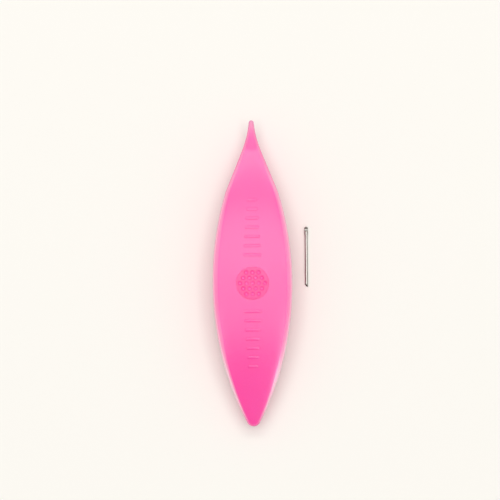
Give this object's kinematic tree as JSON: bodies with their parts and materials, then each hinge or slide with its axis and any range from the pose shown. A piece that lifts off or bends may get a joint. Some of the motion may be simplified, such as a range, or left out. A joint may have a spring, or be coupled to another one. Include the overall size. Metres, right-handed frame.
{
  "type": "tatting shuttle",
  "caption": "Leaf-shaped post shuttle for tatting: curved blades held apart by a centre post with a thread hole, a moulded pick at the tip, and a loose steel joining hook beside it.",
  "frame": {"origin": "middle of the thread hole through the winding post, which is the middle of the waist, halfway through the thickness", "axes": "+Y along the shuttle towards the pick, +X across it along the thread hole, +Z through its thickness, up from the surface it lies on"},
  "size_m": [0.0295, 0.0944, 0.013],
  "materials": {
    "pink_plastic": "satin-gloss moulded translucent plastic in a bright fluorescent pink",
    "hook_steel": "drawn and polished steel wire"
  },
  "bodies": {
    "shuttle": {"front_blade": "pink_plastic", "back_blade": "pink_plastic", "winding_post": "pink_plastic"},
    "hook": {"joining_hook": "hook_steel"}
  },
  "joints": [
    {"name": "hook_lift", "type": "slide", "parent": "shuttle", "child": "hook", "axis": [0, 0, 1], "range_m": [0, 0.03]}
  ]
}
